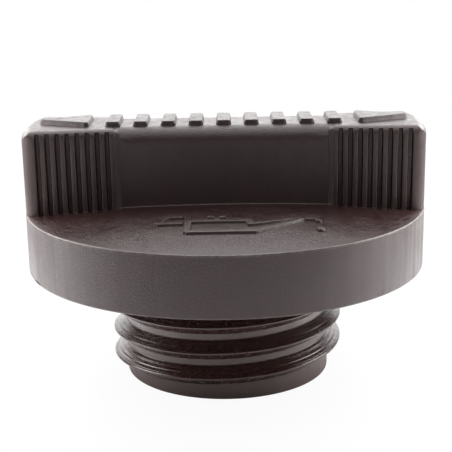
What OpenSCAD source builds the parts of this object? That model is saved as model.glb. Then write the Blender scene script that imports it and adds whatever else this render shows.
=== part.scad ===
// Screw-in oil filler cap: one hollow plastic moulding and a rubber sealing ring.
// Millimetres. The origin is at the centre of the boss's lower end, +Z is up, the grip bar runs along X.

/* [Flange] */
// Diameter of the round flange
flange_d = 54.4; // [50:0.1:60]
// Height of the flange wall, from its lower edge to the rim
flange_h = 7.9; // [7.4:0.1:9.4]
// Rise of the domed top face above the rim
dome_rise = 1; // [0.5:0.1:1.6]
// Rounding of the upper rim
rim_round = 0.5; // [0.3:0.05:0.8]
// Rounding of the lower edge
edge_round = 0.45; // [0.3:0.05:0.7]
// Thickness of the skirt below the top wall
skirt_wall = 2.3; // [1.8:0.1:2.8]
// Thickness of the top wall at the rim
top_wall = 2.75; // [2.4:0.05:3]
// Number of stiffening ribs under the flange
rib_n = 8; // [4:4:8]
// Thickness of a stiffening rib
rib_t = 1.4; // [1:0.1:2]
// Height of a stiffening rib
rib_h = 2.4; // [1.4:0.1:2.8]

/* [Grip bar] */
// Height of the bar above the rim
grip_rise = 11.35; // [9:0.05:15]
// Thickness of the bar in the middle
grip_t = 10.7; // [9:0.1:11.6]
// Rounding along the top of the middle part
grip_round = 2.3; // [1:0.1:3]
// Distance from the centre to the inner edge of a ribbed pad
pad_x = 14.55; // [13:0.05:15.5]
// Width of the slope that leads up to a pad
pad_step = 0.8; // [0.4:0.1:1.2]
// Thickness of the bar at a pad's inner edge
pad_t_in = 12.2; // [11.8:0.1:13]
// Thickness of the bar at its ends
pad_t_out = 14.7; // [13.4:0.1:16]
// Rounding along the top of a pad
pad_round = 1.2; // [0.8:0.1:1.6]
// Rounding of the bar's ends
end_round = 1.5; // [1:0.1:2]

/* [Grooves] */
// Number of grooves in a pad face
groove_n = 8; // [4:1:8]
// Distance of the first groove from the pad's inner edge
groove_first = 0.75; // [0.6:0.05:1.2]
// Distance of the last groove from the pad's rounded end
groove_last = 0.55; // [0.4:0.05:1]
// Width of a groove at its mouth
groove_w = 0.62; // [0.4:0.02:0.8]
// Depth of a groove
groove_depth = 0.9; // [0.4:0.05:1.1]

/* [Hollows] */
// Side wall left round the hollows inside the bar
grip_wall = 1.85; // [1.5:0.05:2.4]
// Roof left over the hollows inside the bar
grip_roof = 2.4; // [1.8:0.1:3]
// Wall left at the bar's ends
end_wall = 2.8; // [2.4:0.1:3.6]
// Wall of the hollow boss
boss_wall = 2.9; // [2:0.05:3.2]

/* [Threaded boss] */
// Length of the boss below the flange
boss_h = 15.5; // [13:0.1:19]
// Outside diameter of the thread
thread_d = 32; // [29:0.5:34]
// Pitch of the thread
thread_pitch = 3.5; // [3:0.25:4]
// Depth of the thread
thread_depth = 1.8; // [1.5:0.05:2.1]
// Width of the thread's crest
crest_w = 0.25; // [0.15:0.05:0.4]
// Width of the flat between two turns
root_w = 0.75; // [0.5:0.05:1]
// Height of the crest where the thread begins
thread_z = 1.75; // [1.5:0.05:2.2]
// Direction in which the thread begins, in degrees from +X
thread_turn = 85; // [0:5:355]
// Turn over which the thread grows to its full depth, in degrees
thread_fade = 80; // [50:5:120]

/* [Sealing ring] */
// Thickness of the rubber ring
ring_t = 3; // [2.4:0.1:3.2]
// Width of the rubber ring
ring_w = 4.6; // [4.2:0.1:4.9]
// Clearance between the ring and the boss
ring_gap = 0.05; // [0.03:0.01:0.15]
// Height of the ring's sealing lip
lip_rise = 0.6; // [0.3:0.1:0.9]
// Distance of the sealing lip from the thread's crest
lip_gap = 0.3; // [0.2:0.05:0.5]

/* [Hidden] */
$fn = 144;
chamfer = 0.2;
mouth_chamfer = 0.4;
inner_fillet = 0.7;
seat_rise = 0.4;
seat_margin = 0.6;
groove_draft = 0.12;
hollow_gap = 0.7;
hollow_corner = 0.4;
bar_inset = 0.05;
root_sink = 1.5;
joint_sink = 0.4;
face_lap = 7;
ridge_sink = 0.35;
ridge_start = 0.12;
flange_r = flange_d / 2;
thread_r = thread_d / 2;
core_r = thread_r - thread_depth;
bore_r = core_r - boss_wall;
skirt_r = flange_r - skirt_wall;
ring_r0 = core_r + ring_gap;
ring_r1 = ring_r0 + ring_w;
seat_r = ring_r1 + seat_margin;
z_under = boss_h;
z_rim = boss_h + flange_h;
z_top = z_rim + grip_rise;
z_wall = z_rim - top_wall;
z_seat = z_wall - seat_rise;
z_lip = z_seat - ring_t;
z_root = z_rim - root_sink;

// Points on an arc about (cx, cy), from angle a0 to a1, in n steps.
function arc(cx, cy, r, a0, a1, n) =
    [for (i = [0:n]) [cx + r * cos(a0 + (a1 - a0) * i / n), cy + r * sin(a0 + (a1 - a0) * i / n)]];

// Outline of a rectangle with rounded corners, half sizes hx and hy.
function soft_box(hx, hy, r) = concat(
    arc(hx - r, hy - r, r, 0, 90, 5),
    arc(r - hx, hy - r, r, 90, 180, 5),
    arc(r - hx, r - hy, r, 180, 270, 5),
    arc(hx - r, r - hy, r, 270, 360, 5));

// The domed face is part of a large sphere that falls by dome_rise from the centre to the rim.
dome_r = (pow(flange_r, 2) + pow(dome_rise, 2)) / (2 * dome_rise);
dome_z = z_rim + dome_rise - dome_r;
rim_x = flange_r - rim_round;
rim_z = dome_z + sqrt(pow(dome_r - rim_round, 2) - pow(rim_x, 2));
rim_a = acos(rim_x / (dome_r - rim_round));
dome_n = 10;

function dome_at(x) = dome_z + sqrt(pow(dome_r, 2) - pow(x, 2));

// Half section of the moulding without its bar, thread and ribs.
shell_section = concat(
    [for (i = [0:dome_n - 1]) [rim_x * i / dome_n, dome_at(rim_x * i / dome_n)]],
    arc(rim_x, rim_z, rim_round, rim_a, 0, 6),
    arc(flange_r - edge_round, z_under + edge_round, edge_round, 0, -90, 6),
    [[skirt_r + mouth_chamfer, z_under], [skirt_r, z_under + mouth_chamfer]],
    arc(skirt_r - inner_fillet, z_wall - inner_fillet, inner_fillet, 0, 90, 4),
    [[seat_r, z_wall], [seat_r, z_seat], [core_r, z_seat]],
    [[core_r, chamfer], [core_r - chamfer, 0], [bore_r + mouth_chamfer, 0], [bore_r, mouth_chamfer]],
    arc(bore_r - inner_fillet, z_wall - inner_fillet, inner_fillet, 0, 90, 4),
    [[0, z_wall]]);

// Hollow boss, top wall and skirt in one turned shape.
module shell() {
    rotate_extrude()
        polygon(shell_section);
}

// Extrudes an outline drawn in Y and Z along X, from x0 to x1.
module along_x(x0, x1) {
    translate([x0, 0, 0])
        rotate([90, 0, 90])
            linear_extrude(x1 - x0)
                children();
}

mid_h = grip_t / 2;
grip_r = flange_r - bar_inset;

// Straight bar between and behind the pads, with its broad top rounding.
module straight_bar() {
    along_x(-flange_r, flange_r)
        polygon(concat(
            [[mid_h, z_root]],
            arc(mid_h - grip_round, z_top - grip_round, grip_round, 0, 90, 8),
            arc(grip_round - mid_h, z_top - grip_round, grip_round, 90, 180, 8),
            [[-mid_h, z_root]]));
}

// Pad faces flare outwards. pad_d is the distance of a face's plane from the axis, and the
// corner is the centre of the rounding between that plane and the bar's round end.
pad_h0 = pad_t_in / 2;
pad_h1 = pad_t_out / 2;
flare = atan((pad_h1 - pad_h0) / (grip_r - pad_x));
pad_d = pad_h0 * cos(flare) - pad_x * sin(flare);
corner_d = pad_d - end_round;
corner_t = sqrt(pow(grip_r - end_round, 2) - pow(corner_d, 2));
corner_x = corner_t * cos(flare) - corner_d * sin(flare);
corner_y = -corner_t * sin(flare) - corner_d * cos(flare);
corner_a = atan2(corner_y, corner_x);
pad_foot = pad_x - pad_step;

// The grooves are spread evenly over the flat part of a pad's face.
face_length = corner_t - pad_x * cos(flare) - pad_h0 * sin(flare);
groove_pitch = (face_length - groove_first - groove_last) / (groove_n - 1);

function pad_half(x) = pad_h0 + (x - pad_x) * tan(flare);

// One edge of a pad seen from above: slope out of the bar, face, rounded corner, round end.
pad_edge = concat(
    [[pad_foot - joint_sink, joint_sink - mid_h]],
    [[pad_foot, -mid_h], [pad_x, -pad_h0]],
    arc(corner_x, corner_y, end_round, -90 - flare, corner_a, 6),
    [[flange_d * cos(corner_a), flange_d * sin(corner_a)]]);
pad_outline = concat(pad_edge,
    [for (i = [len(pad_edge) - 1:-1:0]) [pad_edge[i][0], -pad_edge[i][1]]]);

// Moves its children to a pad's front face: x along the face, y into the bar.
module on_face() {
    translate([pad_x, -pad_h0, 0])
        rotate([0, 0, -flare])
            children();
}

// Space behind a pad's front face, rounded along the top.
module behind_face() {
    on_face()
        along_x(-face_lap, flange_r)
            polygon(concat(
                [[flange_r, z_root], [0, z_root]],
                arc(pad_round, z_top - pad_round, pad_round, 180, 90, 6),
                [[flange_r, z_top]]));
}

// Upright grooves in a pad's front face, groove_w wide at the face. They run out in its rounding.
groove_out = groove_w * (0.5 + groove_draft);
groove_in = groove_w * (0.5 - groove_draft);

module grooves() {
    on_face()
        for (i = [0:groove_n - 1])
            translate([groove_first + i * groove_pitch, 0, z_root - joint_sink])
                linear_extrude(z_top - z_root + 2 * joint_sink)
                    polygon([
                        [-groove_out, -groove_depth],
                        [groove_out, -groove_depth],
                        [groove_in, groove_depth],
                        [-groove_in, groove_depth]]);
}

// Ribbed pad at the +X end.
module pad() {
    difference() {
        intersection() {
            translate([0, 0, z_root])
                linear_extrude(z_top - z_root)
                    polygon(pad_outline);
            behind_face();
            mirror([0, 1, 0])
                behind_face();
            rotate([90, 0, 0])
                linear_extrude(flange_d, center = true)
                    polygon(concat(
                        [[flange_d, z_root], [pad_foot - joint_sink, z_root]],
                        arc(pad_foot + pad_round, z_top - pad_round, pad_round, 180, 90, 6),
                        [[flange_d, z_top]]));
        }
        grooves();
        mirror([0, 1, 0])
            grooves();
    }
}

// Grip bar: straight bar and two flared pads, held within the round end outline.
module grip() {
    intersection() {
        union() {
            straight_bar();
            pad();
            mirror([1, 0, 0])
                pad();
        }
        rotate_extrude()
            polygon(concat(
                [[0, z_root], [grip_r, z_root]],
                arc(grip_r - end_round, z_top - end_round, end_round, 0, 90, 6),
                [[0, z_top]]));
    }
}

// Hollows in the bar: one opens into the boss's bore, two open under the flange.
mid_y = mid_h - grip_wall;
mid_x = sqrt(pow(bore_r - mouth_chamfer, 2) - pow(mid_y, 2));
side_x0 = seat_r + hollow_gap;
side_x1 = flange_r - end_wall;
side_y = pad_half(side_x0) - groove_depth - grip_wall;
z_roof = z_top - grip_roof;

module hollow(x, hx, hy) {
    translate([x, 0, z_wall - inner_fillet - joint_sink])
        linear_extrude(z_roof - z_wall + inner_fillet + joint_sink)
            polygon(soft_box(hx, hy, hollow_corner * min(hx, hy)));
}

module hollows() {
    hollow(0, mid_x, mid_y);
    for (side = [-1, 1])
        hollow(side * (side_x0 + side_x1) / 2, (side_x1 - side_x0) / 2, side_y);
}

// Stiffening ribs between the ring's seat and the skirt.
module ribs() {
    for (i = [0:rib_n - 1])
        rotate([0, 0, (i + 0.5) * 360 / rib_n])
            translate([seat_r - joint_sink, -rib_t / 2, z_wall - rib_h])
                cube([skirt_r - seat_r + 2 * joint_sink, rib_t, rib_h + joint_sink]);
}

// Right-hand thread of one start. Each ring of the ridge has four points in a plane through the
// axis: foot, crest, crest, foot. The ridge rises out of the boss and sinks back at its ends.
turn_steps = 60;
foot_r = core_r - ridge_sink;
crest_low = foot_r + ridge_start;
flank = (thread_pitch - crest_w - root_w) / 2 / thread_depth;
thread_end = z_lip - lip_gap - crest_w;
sweep = (thread_end - thread_z) / thread_pitch * 360;
steps = ceil(sweep / 360 * turn_steps);

function ease(t) = t <= 0 ? 0 : t >= 1 ? 1 : t * t * (3 - 2 * t);
function crest_r(a) =
    crest_low + (thread_r - crest_low) * ease(a / thread_fade) * ease((sweep - a) / thread_fade);
function foot_half(a) = crest_w / 2 + (crest_r(a) - foot_r) * flank;
function ridge_z(a) = thread_z + thread_pitch * a / 360;
function around(a, r, z) = [r * cos(a + thread_turn), r * sin(a + thread_turn), z];
function ridge_ring(a) = [
    around(a, foot_r, ridge_z(a) - foot_half(a)),
    around(a, crest_r(a), ridge_z(a) - crest_w / 2),
    around(a, crest_r(a), ridge_z(a) + crest_w / 2),
    around(a, foot_r, ridge_z(a) + foot_half(a))];

module thread() {
    points = [for (i = [0:steps]) each ridge_ring(sweep * i / steps)];
    walls = [for (i = [0:steps - 1], k = [0:3])
        each [[4 * i + k, 4 * i + (k + 1) % 4, 4 * i + 4 + (k + 1) % 4],
            [4 * i + k, 4 * i + 4 + (k + 1) % 4, 4 * i + 4 + k]]];
    ends = [[2, 1, 0], [3, 2, 0],
        [4 * steps, 4 * steps + 1, 4 * steps + 2], [4 * steps, 4 * steps + 2, 4 * steps + 3]];
    polyhedron(points, concat(walls, ends));
}

// The moulded cap: threaded hollow boss, flange with skirt, and grip bar.
module cap_body() {
    color([0.2, 0.18, 0.17])
        difference() {
            union() {
                shell();
                grip();
                ribs();
                thread();
            }
            hollows();
        }
}

// The rubber ring round the neck of the boss, flat against its seat, with a lip that seals.
module sealing_gasket() {
    ring_chamfer = 0.25;
    foot_round = 0.4;
    lip_round = 0.5;
    lip_r = thread_r + lip_gap;
    color([0.05, 0.05, 0.05])
        rotate_extrude()
            polygon(concat(
                [[ring_r1 - ring_chamfer, z_seat], [ring_r0 + ring_chamfer, z_seat]],
                [[ring_r0, z_seat - ring_chamfer]],
                arc(ring_r0 + foot_round, z_lip + lip_rise + foot_round, foot_round, 180, 270, 4),
                [[lip_r - lip_rise, z_lip + lip_rise], [lip_r, z_lip]],
                arc(ring_r1 - lip_round, z_lip + lip_round, lip_round, 270, 360, 5),
                [[ring_r1, z_seat - ring_chamfer]]));
}

cap_body();
sealing_gasket();
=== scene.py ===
import math

import bmesh
import bpy
import numpy as np
from mathutils import Matrix, Vector


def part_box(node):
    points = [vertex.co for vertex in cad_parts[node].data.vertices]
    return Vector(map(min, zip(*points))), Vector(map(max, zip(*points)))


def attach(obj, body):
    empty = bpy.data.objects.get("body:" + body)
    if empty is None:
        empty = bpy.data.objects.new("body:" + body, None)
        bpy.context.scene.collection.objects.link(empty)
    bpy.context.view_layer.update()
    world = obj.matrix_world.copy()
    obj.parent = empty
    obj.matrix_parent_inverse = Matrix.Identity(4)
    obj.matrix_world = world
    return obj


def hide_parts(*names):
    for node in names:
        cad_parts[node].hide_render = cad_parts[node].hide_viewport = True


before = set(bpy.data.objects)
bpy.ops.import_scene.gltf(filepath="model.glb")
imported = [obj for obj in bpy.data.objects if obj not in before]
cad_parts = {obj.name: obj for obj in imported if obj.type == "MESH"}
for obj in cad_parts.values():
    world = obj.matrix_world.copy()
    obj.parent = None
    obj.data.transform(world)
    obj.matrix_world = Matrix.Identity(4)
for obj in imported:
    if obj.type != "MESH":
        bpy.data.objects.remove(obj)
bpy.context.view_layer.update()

# View. The camera stands 157 mm from the cap and looks down on it at 15.75 degrees, with the
# picture tilted by one degree. Sizes are given in millimetres, and MM turns them into metres.
MM = 0.001
AIM = Vector((0, 0, 15.9)) * MM
VIEW_DISTANCE = 156.7 * MM
VIEW_RISE = math.radians(15.75)
VIEW_TILT = math.radians(-1.0)
PICTURE_PX = 452
FOCAL_PX = 1116.6
AIM_PX = (225.9, 254.4)
SENSOR_WIDTH = 36

camera = bpy.data.objects.new("camera", bpy.data.cameras.new("camera"))
bpy.context.scene.collection.objects.link(camera)
bpy.context.scene.camera = camera
backwards = Vector((0, -math.cos(VIEW_RISE), math.sin(VIEW_RISE)))
camera.matrix_world = (
    Matrix.Translation(AIM + backwards * VIEW_DISTANCE)
    @ (-backwards).to_track_quat("-Z", "Y").to_matrix().to_4x4()
    @ Matrix.Rotation(VIEW_TILT, 4, "Z")
)
camera.data.sensor_width = SENSOR_WIDTH
camera.data.lens = SENSOR_WIDTH * FOCAL_PX / PICTURE_PX
camera.data.shift_x = 0.5 - AIM_PX[0] / PICTURE_PX
camera.data.shift_y = AIM_PX[1] / PICTURE_PX - 0.5
camera.data.clip_start = 0.01
bpy.context.scene.view_settings.view_transform = "Standard"

# Table. A matt white sheet that ends 235 mm behind the cap's axis. To the camera most of it
# glows in the white of the background, and the rest of it keeps the cap's soft shadow.
TABLE_REACH, TABLE_BACK = 1500 * MM, 235 * MM
TABLE_WHITE = (0.85, 0.85, 0.85, 1)
TABLE_GLOW_SHARE = 0.94
WHITE = (1, 1, 1, 1)


def add_node(tree, kind, inputs=None, **settings):
    """A shader node with its settings. An input is set where a number or a colour is given,
    and linked where another node's output is given."""
    node = tree.nodes.new(kind)
    for name, value in settings.items():
        setattr(node, name, value)
    for name, value in (inputs or {}).items():
        if isinstance(value, bpy.types.NodeSocket):
            tree.links.new(value, node.inputs[name])
        else:
            node.inputs[name].default_value = value
    return node


def reckon(tree, operation, *terms):
    """The result of a Math node on its terms, which are numbers or other nodes' outputs."""
    return add_node(tree, "ShaderNodeMath", dict(enumerate(terms)), operation=operation).outputs[0]


table_mesh = bpy.data.meshes.new("table")
table_mesh.from_pydata(
    [(-TABLE_REACH, -TABLE_REACH, 0), (TABLE_REACH, -TABLE_REACH, 0),
     (TABLE_REACH, TABLE_BACK, 0), (-TABLE_REACH, TABLE_BACK, 0)],
    [], [(0, 1, 2, 3)])
table = bpy.data.objects.new("table", table_mesh)
bpy.context.scene.collection.objects.link(table)

table_paint = bpy.data.materials.new("white_table")
table_paint.use_nodes = True
tree = table_paint.node_tree
tree.nodes.clear()
ray = add_node(tree, "ShaderNodeLightPath")
matt = add_node(tree, "ShaderNodeBsdfDiffuse", {"Color": TABLE_WHITE})
glow = add_node(tree, "ShaderNodeEmission", {"Color": WHITE, "Strength": 1})
share = reckon(tree, "MULTIPLY", ray.outputs["Is Camera Ray"], TABLE_GLOW_SHARE)
seen = add_node(tree, "ShaderNodeMixShader", {0: share, 1: matt.outputs[0], 2: glow.outputs[0]})
add_node(tree, "ShaderNodeOutputMaterial", {"Surface": seen.outputs[0]})
table_mesh.materials.append(table_paint)

# Light. A white tent, dim on the cap and full white to the camera, and nine soft boxes: a low
# and a high one at each side, one above, three behind and a faint one in front.
TENT_LIGHT = 0.1

tent = bpy.data.worlds.new("tent")
bpy.context.scene.world = tent
tent.use_nodes = True
tree = tent.node_tree
tree.nodes.clear()
ray = add_node(tree, "ShaderNodeLightPath")
strength = add_node(tree, "ShaderNodeMix", {0: ray.outputs["Is Camera Ray"], 2: TENT_LIGHT, 3: 1.0})
sky = add_node(tree, "ShaderNodeBackground", {"Color": WHITE, "Strength": strength.outputs[0]})
add_node(tree, "ShaderNodeOutputWorld", {"Surface": sky.outputs[0]})


def soft_box(name, place, size, radiance, target=AIM):
    """A rectangular lamp, in metres, that faces its target and that the camera doesn't see. Its
    energy is pi times its radiance times its area."""
    lamp = bpy.data.lights.new(name, "AREA")
    lamp.shape = "RECTANGLE"
    lamp.size, lamp.size_y = size
    lamp.energy = radiance * math.pi * size[0] * size[1]
    stand = bpy.data.objects.new(name, lamp)
    bpy.context.scene.collection.objects.link(stand)
    stand.location = place
    stand.rotation_mode = "QUATERNION"
    stand.rotation_quaternion = (Vector(place) - Vector(target)).to_track_quat("Z", "Y")
    stand.visible_camera = False


# The low lamps look straight down at the table beside and behind the cap. Their targets are
# a hair off the point below them, because that settles how they are turned.
HAIR = 0.0001
for side, end, radiance in ((-1, "left", 5.2), (1, "right", 5.4)):
    soft_box("low_" + end, (side * 0.082, 0, 0.04), (0.1, 0.05), radiance, (side * (0.082 + HAIR), 0, 0))
    soft_box("high_" + end, (side * 0.2, 0.05, 0.25), (0.2, 0.2), 1.5)
soft_box("over", (0, 0, 0.3), (0.3, 0.3), 1.3)
soft_box("behind", (0, 0.24, 0.11), (0.44, 0.22), 1.62)
soft_box("behind_high", (0, 0.18, 0.26), (0.34, 0.16), 2.5)
soft_box("behind_low", (0, 0.12, 0.06), (0.22, 0.14), 1.4, (0, 0.12 + HAIR, 0))
soft_box("front", (0, -0.36, 0.12), (0.5, 0.2), 0.21)


# Cap body. One injection moulding of dark glass-filled polyamide: the hollow boss, the flange
# with its skirt and the cored grip bar leave the mould together. The thread screws into the
# filler neck, and the bar is what the hand turns.
def node_box(node):
    """Lowest and highest corner of a node of the frame, in millimetres to the nearest micrometre."""
    return np.round(np.array([list(corner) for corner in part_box(node)]) / MM, 3)


# R is a radius and Z a height. SKIRT is the skirt's inside, CORE the boss between the turns
# of its thread, BORE its inside and SEAT the ring's seat. EDGE and RIM are the flange's lower
# and upper edge, and WALL is the underside of its top.
FLANGE_R = node_box("cap_body")[1, 0]
TOP_Z = node_box("cap_body")[1, 2]
SEAT_Z = node_box("sealing_gasket")[1, 2]
SKIRT_R = 24.9
CORE_R = 14.2
BORE_R = 11.3
SEAT_R = 19.45
EDGE_Z = 15.5
RIM_Z = 23.4
WALL_Z = 20.65
DOME_RISE = 1.0
DOME_R = (FLANGE_R ** 2 + DOME_RISE ** 2) / (2 * DOME_RISE)
RIM_ROUND, EDGE_ROUND, BOSS_ROUND = 0.2, 0.3, 0.2
MOUTH, FILLET = 0.4, 0.7
TURN_STEPS = 240
MERGE_DISTANCE = 0.0001


def arc(x, z, radius, start, end, steps):
    """Points on a circle: the centre plus the radius times cosine and sine of evenly spread angles."""
    turn = np.radians(np.linspace(start, end, steps + 1))
    return np.stack([x + radius * np.cos(turn), z + radius * np.sin(turn)], 1)


def dome(distance):
    """Height of the domed face: a sphere that falls by DOME_RISE from the axis to the rim."""
    return RIM_Z + DOME_RISE - DOME_R + np.sqrt(DOME_R ** 2 - np.asarray(distance) ** 2)


def grid_faces(rows, columns):
    """Quads of a grid whose last column joins its first. Each joins a point to the next in its
    row and to the two beside these in the next row."""
    row, column = np.meshgrid(np.arange(rows - 1), np.arange(columns), indexing="ij")
    beside = (column + 1) % columns
    return np.stack([row * columns + column, row * columns + beside,
                     (row + 1) * columns + beside, (row + 1) * columns + column],
                    -1).reshape(-1, 4).tolist()


def end_faces(count, rows=2):
    """The two faces that close a tube at its first and last row, each a ring of count points."""
    last = count * (rows - 1)
    return [list(range(count)), list(range(last + count - 1, last - 1, -1))]


def solid(name, points, faces=None):
    """A closed mesh from points in millimetres, merged where they meet, with its faces
    outwards. Where no faces are given, it is the smallest convex solid round the points."""
    mesh = bpy.data.meshes.new(name)
    mesh.from_pydata((np.asarray(points).reshape(-1, 3) * MM).tolist(), [], faces or [])
    work = bmesh.new()
    work.from_mesh(mesh)
    bmesh.ops.remove_doubles(work, verts=work.verts, dist=MERGE_DISTANCE * MM)
    if faces is None:
        bmesh.ops.convex_hull(work, input=work.verts)
    bmesh.ops.recalc_face_normals(work, faces=work.faces)
    work.to_mesh(mesh)
    work.free()
    thing = bpy.data.objects.new(name, mesh)
    bpy.context.scene.collection.objects.link(thing)
    return thing


def turned(name, profile, steps=TURN_STEPS):
    """A profile of radius and height carried once round the axis: x and y are the radius times
    the cosine and sine of the turn."""
    turn = np.linspace(0, 2 * np.pi, steps, endpoint=False)
    radius, height = np.asarray(profile).T[:, :, None]
    points = np.stack([radius * np.cos(turn), radius * np.sin(turn), height + 0 * turn], -1)
    return solid(name, points, grid_faces(len(profile), steps))


def fuse(body, part, operation):
    """Joins the solid part to the body, or cuts it away, and removes the part."""
    modifier = body.modifiers.new(operation.lower(), "BOOLEAN")
    modifier.operation = operation
    modifier.solver = "MANIFOLD"
    modifier.object = part
    shape = bpy.data.meshes.new_from_object(
        body.evaluated_get(bpy.context.evaluated_depsgraph_get()))
    body.modifiers.clear()
    old, body.data = body.data, shape
    shape.name = body.name
    bpy.data.meshes.remove(old)
    bpy.data.objects.remove(part)


# The profile runs from the domed face over the rim, down the flange's side and the skirt's
# inside, past the ring's seat, down the boss and up its bore. The rim's rounding touches the
# dome, so its centre lies on a sphere that is smaller by the rounding's radius.
rim_x = FLANGE_R - RIM_ROUND
rim_centre_z = dome(0) - DOME_R + math.sqrt((DOME_R - RIM_ROUND) ** 2 - rim_x ** 2)
rim_start = math.degrees(math.acos(rim_x / (DOME_R - RIM_ROUND)))
across = np.linspace(0, rim_x, 30)[:-1]
cap_body = turned("cap_moulding", np.concatenate([
    np.stack([across, dome(across)], 1),
    arc(rim_x, rim_centre_z, RIM_ROUND, rim_start, 0, 8),
    arc(FLANGE_R - EDGE_ROUND, EDGE_Z + EDGE_ROUND, EDGE_ROUND, 0, -90, 8),
    [[SKIRT_R + MOUTH, EDGE_Z], [SKIRT_R, EDGE_Z + MOUTH]],
    arc(SKIRT_R - FILLET, WALL_Z - FILLET, FILLET, 0, 90, 6),
    [[SEAT_R, WALL_Z], [SEAT_R, SEAT_Z], [CORE_R, SEAT_Z]],
    arc(CORE_R - BOSS_ROUND, BOSS_ROUND, BOSS_ROUND, 0, -90, 4),
    arc(BORE_R + MOUTH, MOUTH, MOUTH, 270, 180, 4),
    arc(BORE_R - FILLET, WALL_Z - FILLET, FILLET, 0, 90, 6),
    [[0, WALL_Z]]]))

# The thread, a right-hand ridge of one start, is its cross-section carried along a helix.
THREAD_R = 16.0
THREAD_PITCH = 3.5
THREAD_START_Z = 1.75
THREAD_END_Z = 16.7
THREAD_START_TURN = 85
THREAD_FADE = 80
THREAD_SINK = 0.35
THREAD_BUD = 0.14
CREST_WIDTH = 0.25
ROOT_WIDTH = 0.75
CREST_DEPTHS = np.array([0.10, 0.03, 0.0])
CREST_EASES = np.array([0.0, 0.0, 0.04])
THREAD_STEPS_PER_TURN = 180


def ridge():
    """The thread's ridge. Each station is a closed section of eight points in a plane through
    the axis: two feet inside the boss, two flanks that lean in and a crest with eased edges. It
    rises by the pitch in each turn, and its crest grows out of the boss and sinks back along a
    smooth step, 3t^2 - 2t^3, over the first and last THREAD_FADE degrees."""
    sweep = (THREAD_END_Z - THREAD_START_Z) / THREAD_PITCH * 360
    stations = math.ceil(sweep / 360 * THREAD_STEPS_PER_TURN)
    angle = np.linspace(0, sweep, stations + 1)[:, None]
    near = np.clip(np.minimum(angle, sweep - angle) / THREAD_FADE, 0, 1)
    foot = CORE_R - THREAD_SINK
    crest = foot + THREAD_BUD + (THREAD_R - foot - THREAD_BUD) * near ** 2 * (3 - 2 * near)
    lean = (THREAD_PITCH - CREST_WIDTH - ROOT_WIDTH) / 2 / (THREAD_R - CORE_R)
    half = CREST_WIDTH / 2
    radius = np.concatenate([foot + 0 * crest, crest - CREST_DEPTHS], 1)
    offset = np.concatenate([half + (crest - foot) * lean,
                             half + CREST_DEPTHS * lean - CREST_EASES + 0 * crest], 1)
    radius = np.concatenate([radius, radius[:, ::-1]], 1)
    offset = np.concatenate([-offset, offset[:, ::-1]], 1)
    turn = np.radians(angle + THREAD_START_TURN)
    height = THREAD_START_Z + THREAD_PITCH * angle / 360 + offset
    points = np.stack([radius * np.cos(turn), radius * np.sin(turn), height], -1)
    return solid("ridge", points, grid_faces(stations + 1, 8) + end_faces(8, stations + 1))


fuse(cap_body, ridge(), "UNION")

# Stiffening ribs: small upright walls between the ring's seat and the skirt, each a box that
# sinks a little into what it joins and is turned about the axis.
RIB_COUNT, RIB_THICKNESS, RIB_HEIGHT, SINK = 8, 1.4, 2.4, 0.4
BOX_FACES = np.array([(0, 1, 3, 2), (4, 6, 7, 5), (0, 4, 5, 1),
                      (2, 3, 7, 6), (0, 2, 6, 4), (1, 5, 7, 3)])
rib_x, rib_y, rib_z = np.reshape(np.meshgrid(
    (SEAT_R - SINK, SKIRT_R + SINK), (-RIB_THICKNESS / 2, RIB_THICKNESS / 2),
    (WALL_Z - RIB_HEIGHT, WALL_Z + SINK), indexing="ij"), (3, 8))
rib_turns = np.radians((np.arange(RIB_COUNT) + 0.5) * 360 / RIB_COUNT)[:, None]
rib_points = np.stack([rib_x * np.cos(rib_turns) - rib_y * np.sin(rib_turns),
                       rib_x * np.sin(rib_turns) + rib_y * np.cos(rib_turns),
                       rib_z + 0 * rib_turns], -1)
rib_faces = (BOX_FACES + 8 * np.arange(RIB_COUNT)[:, None, None]).reshape(-1, 4).tolist()
fuse(cap_body, solid("ribs", rib_points, rib_faces), "UNION")

# The grip bar: a straight waist between two flared pads, whose round ends follow the flange.
# A pad's upright corner is a circle that touches the pad's face and the bar's round end.
BAR_HALF = 5.35
BAR_ROUND = 2.3
BAR_R = FLANGE_R - 0.05
BAR_WALL = 1.85
BAR_SINK = 1.5
PAD_X, PAD_STEP = 14.55, 0.8
PAD_FOOT = PAD_X - PAD_STEP
PAD_HALF_IN, PAD_HALF_OUT = 6.1, 7.35
PAD_ROUND = 1.2
PAD_STEP_CURVE = np.array([(0.02, 0.1), (0.06, 0.17), (0.2, 0.28), (0.5, 0.57),
                           (0.82, 0.88), (0.9, 0.95), (0.96, 0.985), (1.05, 1.0)])
END_ROUND = 1.5
END_REACH = 0.9 * END_ROUND
PAD_CENTRE_X, END_CENTRE_X = 20.6, 22.0
TOE = 0.2
TOE_LEVELS = (-0.02, 0.03, 0.08, 0.14, TOE)
TOE_BEYOND, TOE_FADE = 0.5, 1.5
TOUCH = 1e-6
NOWHERE = 99
FLARE = math.atan((PAD_HALF_OUT - PAD_HALF_IN) / (BAR_R - PAD_X))
FACE_OFFSET = PAD_HALF_IN * math.cos(FLARE) - PAD_X * math.sin(FLARE)
corner_along = math.sqrt((BAR_R - END_ROUND) ** 2 - (FACE_OFFSET - END_ROUND) ** 2)
corner_x = corner_along * math.cos(FLARE) - (FACE_OFFSET - END_ROUND) * math.sin(FLARE)
corner_y = -corner_along * math.sin(FLARE) - (FACE_OFFSET - END_ROUND) * math.cos(FLARE)
corner_turn = math.degrees(math.atan2(corner_y, corner_x))


def lost(distance, radius):
    """Height that a quarter-round edge takes away at a distance inside it: the radius less the
    circle's height there, nothing beyond the radius, and everything outside the edge. A point
    within TOUCH of the edge counts as on it."""
    inside = np.clip(distance, 0, radius)
    height = np.sqrt(radius ** 2 - (radius - inside) ** 2)
    return np.where(distance < -TOUCH, NOWHERE, radius - height)


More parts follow.
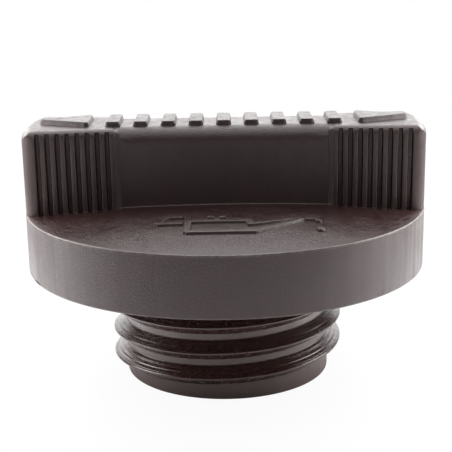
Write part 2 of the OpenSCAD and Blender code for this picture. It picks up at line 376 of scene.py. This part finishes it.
def bar_top(x, y):
    """Height of the bar's top: the higher of the straight bar and the pad, each rounded
    towards its own faces and towards the bar's round end."""
    x, y = np.abs(x), np.abs(y)
    end = lost(BAR_R - np.hypot(x, y), END_ROUND)
    straight = np.maximum(lost(BAR_HALF - y, BAR_ROUND), end)
    face = FACE_OFFSET - (y * math.cos(FLARE) - x * math.sin(FLARE))
    pad = np.maximum(np.maximum(lost(face, PAD_ROUND), lost(x - PAD_FOOT, PAD_ROUND)), end)
    return TOP_Z - np.minimum(straight, pad)


def quarter_outline():
    """A quarter of the bar seen from above, from the middle of its front face to its end:
    straight waist, curved step, straight pad face, corner circle and end circle. A row holds
    x, y, the inward direction's x and y, the reach of the top's rounding and the x of the
    point on the bar's centre line that it leads to."""
    waist_x = np.linspace(0, PAD_FOOT, 14)
    waist = np.stack([waist_x, 0 * waist_x - BAR_HALF], 1)
    step = PAD_STEP_CURVE * [PAD_STEP, BAR_HALF - PAD_HALF_IN] + [PAD_FOOT, -BAR_HALF]
    corner = arc(corner_x, corner_y, END_ROUND, -90 - math.degrees(FLARE), corner_turn, 8)
    share = np.linspace(0, 1, 40)[1:-1, None]
    face = step[-1] * (1 - share) + corner[0] * share
    end = arc(0, 0, BAR_R, corner_turn, 0, 10)[1:]
    plan = np.concatenate([waist, step, face, corner, end])
    inward = np.concatenate([
        np.tile([0.0, 1.0], (len(waist) + len(step) + len(face), 1)),
        ([corner_x, corner_y] - corner) / END_ROUND, -end / BAR_R])
    counts = [len(waist), len(step) + len(face), len(corner) + len(end)]
    reach = np.repeat([BAR_ROUND, PAD_ROUND, END_REACH], counts)
    centre = np.interp(np.arange(len(plan)),
                       [0, counts[0] - 1, counts[0] + counts[1] - 1, len(plan) - 1],
                       [0, PAD_FOOT, PAD_CENTRE_X, END_CENTRE_X])
    return np.column_stack([plan, inward, reach, centre])


def grip_bar():
    """The bar as a closed grid. Its columns go round the outline. Its rows start on the centre
    line inside the flange, go out to the foot, up through a small round toe and the upright
    wall, over the rounding and in along the top to the centre line again. The toe is a quarter
    circle of radius TOE, which stands along the waist and fades out at the pads."""
    quarter = quarter_outline()
    back = quarter[-2::-1] * [1, -1, 1, -1, 1, 1]
    half = np.concatenate([quarter, back])
    other = half[-2:0:-1] * [-1, 1, -1, 1, 1, -1]
    x, y, in_x, in_y, reach, centre = np.concatenate([half, other]).T
    rows = []

    def add_row(row_x, row_y, height):
        """One row of points, at a height that is one number or one for each point."""
        rows.append(np.stack([row_x, row_y, height + 0 * row_x], 1))

    spread = np.clip((PAD_FOOT + TOE_BEYOND - np.abs(x)) / TOE_FADE, 0, 1)
    add_row(centre, 0 * x, RIM_Z - BAR_SINK)
    add_row(x - in_x * TOE * spread, y - in_y * TOE * spread, RIM_Z - BAR_SINK)
    for level in TOE_LEVELS:
        out = (TOE - math.sqrt(TOE ** 2 - (TOE - max(level, 0)) ** 2)) * spread
        toe_x, toe_y = x - in_x * out, y - in_y * out
        add_row(toe_x, toe_y, dome(np.hypot(toe_x, toe_y)) + level)
    wall_foot, wall_top = rows[-1][:, 2], bar_top(x, y)
    for share in np.linspace(0, 1, 9)[1:]:
        add_row(x, y, wall_foot + (wall_top - wall_foot) * share)
    for turn in np.radians(np.linspace(0, 90, 11)[1:]):
        inset = reach * (1 - math.cos(turn))
        round_x, round_y = x + in_x * inset, y + in_y * inset
        add_row(round_x, round_y, bar_top(round_x, round_y))
    brim_x, brim_y = rows[-1][:, 0], rows[-1][:, 1]
    for share in (0.3, 0.65, 1.0):
        top_x, top_y = brim_x + (centre - brim_x) * share, brim_y * (1 - share)
        add_row(top_x, top_y, bar_top(top_x, top_y))
    return solid("grip_bar", np.array(rows), grid_faces(len(rows), len(x)))


# Eight upright grooves in each pad face. One side of a groove's section runs from outside its
# softened mouth to its floor, as distance from the groove's middle and depth under the face.
GROOVE_COUNT, GROOVE_WIDTH, GROOVE_DEPTH, GROOVE_DRAFT = 8, 0.62, 0.9, 0.12
GROOVE_FIRST, GROOVE_LAST = 0.75, 0.55
GROOVE_FOOT_Z, GROOVE_TOP_Z = RIM_Z - 2, TOP_Z - 0.3
face_length = corner_along - PAD_X * math.cos(FLARE) - PAD_HALF_IN * math.sin(FLARE)
groove_pitch = (face_length - GROOVE_FIRST - GROOVE_LAST) / (GROOVE_COUNT - 1)
wide, narrow = GROOVE_WIDTH / 2, GROOVE_WIDTH * (0.5 - GROOVE_DRAFT)
groove_side = np.array([
    (wide + 0.14, -0.3), (wide + 0.12, -0.015), (wide + 0.06, 0.012), (wide + 0.02, 0.05),
    (wide - 0.01, 0.11), (narrow + 0.02, GROOVE_DEPTH - 0.1),
    (narrow - 0.02, GROOVE_DEPTH - 0.03), (narrow - 0.1, GROOVE_DEPTH)])
groove_section = np.concatenate([groove_side, (groove_side * [-1, 1])[::-1]])


def grooves():
    """All the grooves as upright prisms: the section is set along each pad face, turned with
    the face's flare, and mirrored to the four faces."""
    middle = GROOVE_FIRST + groove_pitch * np.arange(GROOVE_COUNT)[:, None]
    along, deep = groove_section[:, 0] + middle, groove_section[:, 1] + 0 * middle
    x = PAD_X + along * math.cos(FLARE) + deep * math.sin(FLARE)
    y = -PAD_HALF_IN - along * math.sin(FLARE) + deep * math.cos(FLARE)
    count = len(groove_section)
    prism = grid_faces(2, count) + end_faces(count)
    points, faces = [], []
    for sign_x in (1, -1):
        for sign_y in (1, -1):
            for edge_x, edge_y in zip(x * sign_x, y * sign_y):
                start = len(points) * count
                points += [np.stack([edge_x, edge_y, 0 * edge_x + z], 1)
                           for z in (GROOVE_FOOT_Z, GROOVE_TOP_Z)]
                faces += [[start + corner for corner in face] for face in prism]
    return solid("grooves", np.array(points), faces)


bar = grip_bar()
fuse(bar, grooves(), "DIFFERENCE")
fuse(cap_body, bar, "UNION")

# The cored hollows open downwards, so that the bar's walls are as thin as the flange. One
# opens into the bore, and one in each end of the bar opens between the seat and the skirt.
HOLLOW_ROOF = 2.4
HOLLOW_ROUND_SHARE = 0.4
MIDDLE_HALF_Y = BAR_HALF - BAR_WALL
MIDDLE_HALF_X = math.sqrt((BORE_R - MOUTH) ** 2 - MIDDLE_HALF_Y ** 2)
SIDE_IN, SIDE_OUT = SEAT_R + 0.7, FLANGE_R - 2.8
SIDE_HALF_Y = PAD_HALF_IN + (SIDE_IN - PAD_X) * math.tan(FLARE) - GROOVE_DEPTH - BAR_WALL


def hollow(middle, half_x, half_y):
    """An upright box with rounded corners: four quarter circles carried up to the bar's roof."""
    corner = HOLLOW_ROUND_SHARE * min(half_x, half_y)
    plan = np.concatenate([
        arc(side_x * (half_x - corner), side_y * (half_y - corner), corner, start, start + 90, 6)
        for side_x, side_y, start in ((1, 1, 0), (-1, 1, 90), (-1, -1, 180), (1, -1, 270))])
    count = len(plan)
    points = np.concatenate([np.column_stack([plan + [middle, 0], np.full(count, z)])
                             for z in (WALL_Z - FILLET - SINK, TOP_Z - HOLLOW_ROOF)])
    return solid("hollow", points, grid_faces(2, count) + end_faces(count))


fuse(cap_body, hollow(0, MIDDLE_HALF_X, MIDDLE_HALF_Y), "DIFFERENCE")
for side in (-1, 1):
    side_middle = side * (SIDE_IN + SIDE_OUT) / 2
    fuse(cap_body, hollow(side_middle, (SIDE_OUT - SIDE_IN) / 2, SIDE_HALF_Y), "DIFFERENCE")

# A small chip in the flange's lower edge: eight corners, as turn, radius and height.
chip_turn, chip_r, chip_z = np.array([
    (200.5, 27.8, 15.75), (209.5, 27.8, 15.6), (204, 27.8, 16.0), (206.5, 27.8, 16.05),
    (204, 27.8, 15.55), (206.5, 27.8, 15.5), (203.2, 26.4, 15.75), (207, 26.4, 15.72)]).T
chip_turn = np.radians(chip_turn)
chip_corners = np.stack([chip_r * np.cos(chip_turn), chip_r * np.sin(chip_turn), chip_z], 1)
fuse(cap_body, solid("chip", chip_corners), "DIFFERENCE")


# Low raised marks, moulded on in one with the cap: plain cross bars between two arrowheads on
# the grip's top, which show that the cap turns, and a plain oil-can sign on the flange.
CORNER_STEPS = 4


def stamp(shapes, radii, lifts, ground):
    """Raised marks as one mesh. Each shape is a convex outline of corner centres, given
    anticlockwise. A level's outline is an arc of the level's radius round each corner, and its
    height is the ground's height under the point plus the level's lift."""
    points, faces = [], []
    for shape in shapes:
        shape = np.asarray(shape, float)
        edges = np.roll(shape, -1, 0) - shape
        heading = np.degrees(np.arctan2(edges[:, 1], edges[:, 0]))
        before = np.roll(heading, 1)
        bend = (heading - before) % 360
        count = len(shape) * (CORNER_STEPS + 1)
        start = sum(len(level) for level in points)
        for radius, lift in zip(radii, lifts):
            plan = np.concatenate([
                arc(*corner, radius, first - 90, first - 90 + turn, CORNER_STEPS)
                for corner, first, turn in zip(shape, before, bend)])
            points.append(np.column_stack([plan, ground(*plan.T) + lift]))
        faces += [[start + corner for corner in face]
                  for face in grid_faces(len(radii), count) + end_faces(count, len(radii))]
    return solid("marks", np.concatenate(points), faces)


def stroke(first, last, width):
    """The four corner centres of a straight stroke between two points."""
    first, last = np.array(first, float), np.array(last, float)
    along = (last - first) / np.hypot(*(last - first))
    aside = np.array([along[1], -along[0]]) * width / 2
    return [first + aside, last + aside, last - aside, first - aside]


def flat_ground(x, y):
    """Height of the bar's top, which is level under the marks."""
    return TOP_Z + 0 * x


def domed_ground(x, y):
    """Height of the flange's face: the dome at the point's distance from the axis."""
    return dome(np.hypot(x, y))


BAR_MARK_COUNT, BAR_MARK_PITCH, BAR_MARK_REACH, BAR_MARK_WIDTH = 9, 3.7, 2.95, 1.0
ARROW_FOOT_X, ARROW_TIP_X = 18.4, 24.4
BAR_MARK_RADII, BAR_MARK_LIFTS = [0.52, 0.52, 0.36, 0.31, 0.22], [-0.4, 0, 0.52, 0.6, 0.64]
marks = [stroke((x, -BAR_MARK_REACH), (x, BAR_MARK_REACH), BAR_MARK_WIDTH)
         for x in BAR_MARK_PITCH * (np.arange(BAR_MARK_COUNT) - (BAR_MARK_COUNT - 1) / 2)]
marks += [[(side * ARROW_FOOT_X, -side * BAR_MARK_REACH), (side * ARROW_TIP_X, 0),
           (side * ARROW_FOOT_X, side * BAR_MARK_REACH)] for side in (1, -1)]
fuse(cap_body, stamp(marks, BAR_MARK_RADII, BAR_MARK_LIFTS, flat_ground), "UNION")

# The sign is an outline drawn in strokes, with its handle at the left, the knob of its lid on
# top, its spout at the right and a drop under the spout's tip. Strokes that overlap are
# stamped one after the other.
SIGN_WIDE, SIGN_THIN, SIGN_FINE = 0.7, 0.5, 0.4
CAN_LEFT, CAN_FRONT, CAN_BACK = -4.75, -18.7, -14.2
HANDLE_LEFT, HANDLE_RIGHT, HANDLE_FRONT, HANDLE_BACK = -8.5, -5.5, -14.95, -12.15
KNOB_MIDDLE, KNOB_BACK = -1.1, -12.45
TIP_LEFT, TIP_RIGHT, TIP_BACK = 9.6, 11.4, -13.4
DROP_MIDDLE, DROP_HALF = (11.8, -17.7), (0.4, 0.6)
SIGN_RADII, SIGN_LIFTS = [0.2, 0.2, 0.12, 0.08, 0.0], [-0.4, 0, 0.28, 0.33, 0.36]
drop_turn = np.radians(np.arange(0, 360, 45))
drop = DROP_MIDDLE + np.stack([np.cos(drop_turn), np.sin(drop_turn)], 1) * DROP_HALF
sign_rounds = [
    [stroke((CAN_LEFT, CAN_FRONT), (3.7, CAN_FRONT), SIGN_WIDE),
     stroke((CAN_LEFT, CAN_BACK), (2.9, CAN_BACK), SIGN_WIDE),
     stroke((HANDLE_LEFT, HANDLE_FRONT), (HANDLE_RIGHT, HANDLE_FRONT), SIGN_WIDE),
     stroke((HANDLE_LEFT + 0.9, HANDLE_BACK), (HANDLE_RIGHT, HANDLE_BACK), SIGN_WIDE),
     drop, stroke((TIP_LEFT, TIP_BACK), (TIP_RIGHT, TIP_BACK - 0.1), SIGN_THIN)],
    [stroke((CAN_LEFT, CAN_FRONT), (CAN_LEFT, HANDLE_BACK), SIGN_WIDE),
     stroke((2.95, CAN_BACK), (3.2, CAN_BACK - 1.7), SIGN_WIDE),
     stroke((HANDLE_LEFT, HANDLE_FRONT), (HANDLE_LEFT + 0.9, HANDLE_BACK), SIGN_WIDE),
     stroke((KNOB_MIDDLE, CAN_BACK + 0.1), (KNOB_MIDDLE, KNOB_BACK - 0.1), SIGN_THIN),
     stroke((TIP_RIGHT + 0.1, TIP_BACK), (TIP_RIGHT + 0.35, TIP_BACK - 1), SIGN_THIN)],
    [stroke((3.65, CAN_FRONT + 0.1), (TIP_LEFT, TIP_BACK - 0.1), SIGN_WIDE),
     stroke((KNOB_MIDDLE - 1.1, KNOB_BACK), (KNOB_MIDDLE + 1.1, KNOB_BACK), SIGN_THIN)],
    [stroke((3.2, CAN_BACK - 1.6), (TIP_LEFT - 0.2, TIP_BACK + 0.1), SIGN_FINE)],
]
for strokes in sign_rounds:
    fuse(cap_body, stamp(strokes, SIGN_RADII, SIGN_LIFTS, domed_ground), "UNION")

SHARP_ANGLE = math.radians(32)


def smooth(piece):
    """Smooth shading that keeps edges sharper than SHARP_ANGLE and lets large faces stay flat."""
    piece.data.polygons.foreach_set("use_smooth", np.ones(len(piece.data.polygons), bool))
    piece.data.set_sharp_from_angle(angle=SHARP_ANGLE)
    weigh = piece.modifiers.new("weigh", "WEIGHTED_NORMAL")
    weigh.keep_sharp = True


smooth(cap_body)
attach(cap_body, "root")
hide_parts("cap_body")


# The plastic's skin: the mould's fine grain, with soft clouds in tone and gloss. On the boss
# most of the grain gives way to lines from the mould's threaded sleeve. The boss is painted paler
# as painted light, edges are painted paler in patches as a painted highlight, most of all the
# flange's two rims, and a few specks of dust lie on what faces up.
def ramp(tree, value, start, end, first=0.0, last=1.0):
    """A straight ramp from first, where the value is at the start, to last, where it is at the
    end. It is level beyond both."""
    return add_node(tree, "ShaderNodeMapRange", {
        "Value": value, "From Min": start, "From Max": end,
        "To Min": first, "To Max": last}).outputs[0]


def tint(tree, share, first, second):
    """Mix of two colours: the first at a share of 0, the second at a share of 1."""
    return add_node(tree, "ShaderNodeMix", {0: share, 6: first, 7: second}, data_type="RGBA").outputs[2]


def noise(tree, place, scale, detail, roughness=0.5):
    """A random pattern between 0 and 1, with so many waves in each metre as the scale says."""
    return add_node(tree, "ShaderNodeTexNoise", {
        "Vector": place, "Scale": scale, "Detail": detail, "Roughness": roughness}).outputs["Fac"]


COARSE_SHARE, COARSE_FINENESS = 0.14, 0.33
CLOUD_SCALE = 210
SPECK_NET, SPECK_SIZE, SPECK_CHANCE = 560, 0.075, 0.17


def mould_grain():
    """Node group for a moulded skin. Height is 0.86 of a noise of scale Fineness and 0.14 of
    one a third as fine. Clouds is a broad noise. Specks is 1 inside small dots, which stand in
    a share SPECK_CHANCE of the cells of a random net, and 0 elsewhere."""
    group = bpy.data.node_groups.new("mould_grain", "ShaderNodeTree")
    group.interface.new_socket(name="Place", in_out="INPUT", socket_type="NodeSocketVector")
    group.interface.new_socket(name="Fineness", in_out="INPUT", socket_type="NodeSocketFloat")
    for name in ("Height", "Clouds", "Specks"):
        group.interface.new_socket(name=name, in_out="OUTPUT", socket_type="NodeSocketFloat")
    given = add_node(group, "NodeGroupInput")
    place, fineness = given.outputs["Place"], given.outputs["Fineness"]
    fine = noise(group, place, fineness, 2, 0.6)
    coarse = noise(group, place, reckon(group, "MULTIPLY", fineness, COARSE_FINENESS), 2)
    height = add_node(group, "ShaderNodeMix", {0: COARSE_SHARE, 2: fine, 3: coarse})
    clouds = noise(group, place, CLOUD_SCALE, 4, 0.62)
    net = add_node(group, "ShaderNodeTexVoronoi", {"Vector": place, "Scale": SPECK_NET})
    dot = reckon(group, "LESS_THAN", net.outputs["Distance"], SPECK_SIZE)
    chance = add_node(group, "ShaderNodeSeparateColor", {0: net.outputs["Color"]})
    chosen = reckon(group, "GREATER_THAN", chance.outputs[0], 1 - SPECK_CHANCE)
    specks = reckon(group, "MULTIPLY", dot, chosen)
    add_node(group, "NodeGroupOutput",
             {"Height": height.outputs[0], "Clouds": clouds, "Specks": specks})
    return group


PLASTIC_DEEP, PLASTIC_SOFT = (0.0205, 0.0042, 0.0038, 1), (0.0280, 0.0078, 0.0072, 1)
# Painted light on the boss: the core between the thread's turns, and the ridge.
CORE_PAINTED_LIGHT, FLANK_PAINTED_LIGHT = (0.125, 0.083, 0.076, 1), (0.052, 0.020, 0.0165, 1)
# Painted highlight for edges and the flange's two rims.
EDGE_HIGHLIGHT_PAINT = (0.150, 0.125, 0.120, 1)
DUST = (0.42, 0.38, 0.36, 1)
REFLECTION_TINT = (1, 0.94, 0.935, 1)
BOSS_SHARE = 0.6
BOSS_UP_TO, FLANGE_FROM = (EDGE_Z - 0.3) * MM, (EDGE_Z + 0.1) * MM
CORE_END, RIDGE_START = CORE_R * MM, (CORE_R + 0.2) * MM
CLOUD_RANGE = (0.3, 0.7)
GRAIN_FINENESS, GRAIN_DEPTH = 5600, 0.07 * MM
LINE_SCALE, LINE_DEPTH = 3800, 3.9
PATCH_SCALE, PATCH_RANGE, PATCH_HIGHLIGHT = 1300, (0.35, 0.65), (0.2, 0.8)
STREAK_SCALE, STREAK_STRETCH = 1100, (1, 1, 0.05)
UPWARD_RANGE, DUST_SHARE = (0.15, 0.6), 0.5
GLOSSY, SATIN = 0.16, 0.26
STREAK_MATT, DUST_MATT, THREAD_SLEEK = 0.36, 0.25, 0.26
# Where the painted highlight lies: on edges, and round the flange's two rims.
EDGE_HIGHLIGHT_REACH, EDGE_TURNING = 0.18 * MM, (0.985, 0.87)
RIMS_MIDDLE, RIMS_START, RIMS_FULL = 19.42 * MM, 3.68 * MM, 3.82 * MM
RIMS_FROM_R, RIMS_UP_TO = (FLANGE_R - 0.23) * MM, (RIM_Z + 0.1) * MM

grain_group = mould_grain()
plastic = bpy.data.materials.new("moulded_plastic")
plastic.use_nodes = True
tree = plastic.node_tree
shader = tree.nodes["Principled BSDF"]
shader.inputs["Specular IOR Level"].default_value = 1.0
shader.inputs["Specular Tint"].default_value = REFLECTION_TINT
place = add_node(tree, "ShaderNodeTexCoord").outputs["Object"]
grain = add_node(tree, "ShaderNodeGroup", {"Place": place, "Fineness": GRAIN_FINENESS},
                 node_tree=grain_group)
clouds = grain.outputs["Clouds"]

# Where a point lies: its height, its distance from the axis, and whether it is on the boss.
height_up = add_node(tree, "ShaderNodeSeparateXYZ", {0: place}).outputs["Z"]
in_plan = add_node(tree, "ShaderNodeVectorMath", {0: place, 1: (1, 1, 0)}, operation="MULTIPLY")
axis_distance = add_node(tree, "ShaderNodeVectorMath", {0: in_plan.outputs[0]},
                         operation="LENGTH").outputs["Value"]
on_boss = ramp(tree, height_up, BOSS_UP_TO, FLANGE_FROM, BOSS_SHARE, 0)

# The boss: turned lines take a share BOSS_SHARE of the grain's place, and the thread's ridge is
# glossier than the core between its turns. Its colour is painted light: the boss is painted paler
# than the rest of the moulding, standing in for the white table's light in the flange's shade, and
# the core between the turns is painted palest, so the ridge is darker.
outwards = add_node(tree, "ShaderNodeCombineXYZ", {"X": axis_distance}).outputs[0]
lines = reckon(tree, "MULTIPLY", noise(tree, outwards, LINE_SCALE, 1, 0.6), LINE_DEPTH)
relief = add_node(tree, "ShaderNodeMix", {0: on_boss, 2: grain.outputs["Height"], 3: lines}).outputs[0]
skin = add_node(tree, "ShaderNodeBump", {"Strength": 1.0, "Distance": GRAIN_DEPTH, "Height": relief})
off_core = ramp(tree, axis_distance, CORE_END, RIDGE_START)
boss_painted_light = tint(tree, off_core, CORE_PAINTED_LIGHT, FLANK_PAINTED_LIGHT)
sleek = reckon(tree, "MULTIPLY", off_core, -THREAD_SLEEK)

# Painted highlight on edges: a normal that is averaged over the bevel's radius turns away from the
# surface's own one at an edge, and the flange's two rims are painted all round. Both are painted
# paler in patches.
soft_normal = add_node(tree, "ShaderNodeBevel", {"Radius": EDGE_HIGHLIGHT_REACH}, samples=4).outputs[0]
own_normal = add_node(tree, "ShaderNodeNewGeometry").outputs["Normal"]
turning = add_node(tree, "ShaderNodeVectorMath", {0: soft_normal, 1: own_normal},
                   operation="DOT_PRODUCT")
edge = ramp(tree, turning.outputs["Value"], *EDGE_TURNING)
from_middle = reckon(tree, "ABSOLUTE", reckon(tree, "SUBTRACT", height_up, RIMS_MIDDLE))
outside = reckon(tree, "GREATER_THAN", axis_distance, RIMS_FROM_R)
under_rim = reckon(tree, "LESS_THAN", height_up, RIMS_UP_TO)
rims = reckon(tree, "MULTIPLY", ramp(tree, from_middle, RIMS_START, RIMS_FULL), outside)
rims = reckon(tree, "MULTIPLY", rims, under_rim)
patches = ramp(tree, noise(tree, place, PATCH_SCALE, 3, 0.6), *PATCH_RANGE, *PATCH_HIGHLIGHT)
painted_edge_highlight = reckon(tree, "MULTIPLY", reckon(tree, "MAXIMUM", edge, rims), patches)

# Dust: the grain's specks, where the surface faces up.
facing_up = add_node(tree, "ShaderNodeSeparateXYZ", {0: own_normal}).outputs["Z"]
dust = reckon(tree, "MULTIPLY", ramp(tree, facing_up, *UPWARD_RANGE, 0, DUST_SHARE), grain.outputs["Specks"])

colour = tint(tree, ramp(tree, clouds, *CLOUD_RANGE), PLASTIC_DEEP, PLASTIC_SOFT)
# Painted light: the boss is painted paler, palest on the core between the turns.
colour = tint(tree, on_boss, colour, boss_painted_light)
# Painted highlight: edges and the flange's rims are painted paler in patches.
colour = tint(tree, painted_edge_highlight, colour, EDGE_HIGHLIGHT_PAINT)
colour = tint(tree, dust, colour, DUST)

# Roughness: the clouds, faint streaks in the direction in which the cap left its mould, the
# dust's matt specks and the sleek thread.
upright = add_node(tree, "ShaderNodeVectorMath", {0: place, 1: STREAK_STRETCH}, operation="MULTIPLY")
drawn = noise(tree, upright.outputs[0], STREAK_SCALE, 2)
roughness = ramp(tree, clouds, *CLOUD_RANGE, GLOSSY, SATIN)
roughness = reckon(tree, "MULTIPLY_ADD", drawn, STREAK_MATT, roughness)
roughness = reckon(tree, "MULTIPLY_ADD", dust, DUST_MATT, roughness)
roughness = reckon(tree, "MULTIPLY_ADD", on_boss, sleek, roughness)
for name, source in (("Base Color", colour), ("Roughness", roughness), ("Normal", skin.outputs[0])):
    tree.links.new(source, shader.inputs[name])
cap_body.data.materials.clear()
cap_body.data.materials.append(plastic)

# Sealing ring. A moulded nitrile rubber ring, stretched over the boss and held under the
# flange. Its lower lip closes on the rim of the filler neck.
RING_IN = 14.25
RING_OUT = node_box("sealing_gasket")[1, 0]
LIP_Z = node_box("sealing_gasket")[0, 2]
LIP_R, LIP_RISE = 16.3, 0.6
LIP_BEND_IN, LIP_BEND_UP = 0.45 * LIP_RISE, 0.5 * LIP_RISE
RING_FOOT_ROUND, LIP_ROUND = 0.4, 0.5
RING_EDGE = 0.25
EASE_IN, EASE_DOWN = 0.4 * RING_EDGE, 0.1 * RING_EDGE
RING_STEPS = 180

ring = turned("sealing_ring", np.concatenate([
    [[RING_IN + RING_EDGE, SEAT_Z], [RING_IN + EASE_IN, SEAT_Z - EASE_DOWN],
     [RING_IN, SEAT_Z - RING_EDGE]],
    arc(RING_IN + RING_FOOT_ROUND, LIP_Z + LIP_RISE + RING_FOOT_ROUND, RING_FOOT_ROUND, 180, 270, 6),
    [[LIP_R - LIP_RISE, LIP_Z + LIP_RISE], [LIP_R - LIP_BEND_IN, LIP_Z + LIP_BEND_UP], [LIP_R, LIP_Z]],
    arc(RING_OUT - LIP_ROUND, LIP_Z + LIP_ROUND, LIP_ROUND, -90, 0, 6),
    [[RING_OUT, SEAT_Z - RING_EDGE], [RING_OUT - EASE_IN, SEAT_Z - EASE_DOWN],
     [RING_OUT - RING_EDGE, SEAT_Z], [RING_IN + RING_EDGE, SEAT_Z]]]), RING_STEPS)
smooth(ring)
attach(ring, "root")
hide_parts("sealing_gasket")

# The rubber is matt black with a paler bloom in clouds, and has a fainter grain than the cap.
RUBBER_BLACK, RUBBER_BLOOM = (0.011, 0.011, 0.012, 1), (0.030, 0.029, 0.028, 1)
RUBBER_FINENESS, RUBBER_GRAIN_DEPTH, RUBBER_GRAIN_SHARE = 5200, 0.02 * MM, 0.4
BLOOM_RANGE, RUBBER_ROUGHNESS = (0.35, 0.75), (0.62, 0.8)

rubber = bpy.data.materials.new("seal_rubber")
rubber.use_nodes = True
tree = rubber.node_tree
shader = tree.nodes["Principled BSDF"]
place = add_node(tree, "ShaderNodeTexCoord").outputs["Object"]
grain = add_node(tree, "ShaderNodeGroup", {"Place": place, "Fineness": RUBBER_FINENESS},
                 node_tree=grain_group)
clouds = grain.outputs["Clouds"]
colour = tint(tree, ramp(tree, clouds, *BLOOM_RANGE), RUBBER_BLACK, RUBBER_BLOOM)
roughness = ramp(tree, clouds, *BLOOM_RANGE, *RUBBER_ROUGHNESS)
skin = add_node(tree, "ShaderNodeBump", {
    "Strength": RUBBER_GRAIN_SHARE, "Distance": RUBBER_GRAIN_DEPTH,
    "Height": grain.outputs["Height"]})
for name, source in (("Base Color", colour), ("Roughness", roughness), ("Normal", skin.outputs[0])):
    tree.links.new(source, shader.inputs[name])
ring.data.materials.clear()
ring.data.materials.append(rubber)
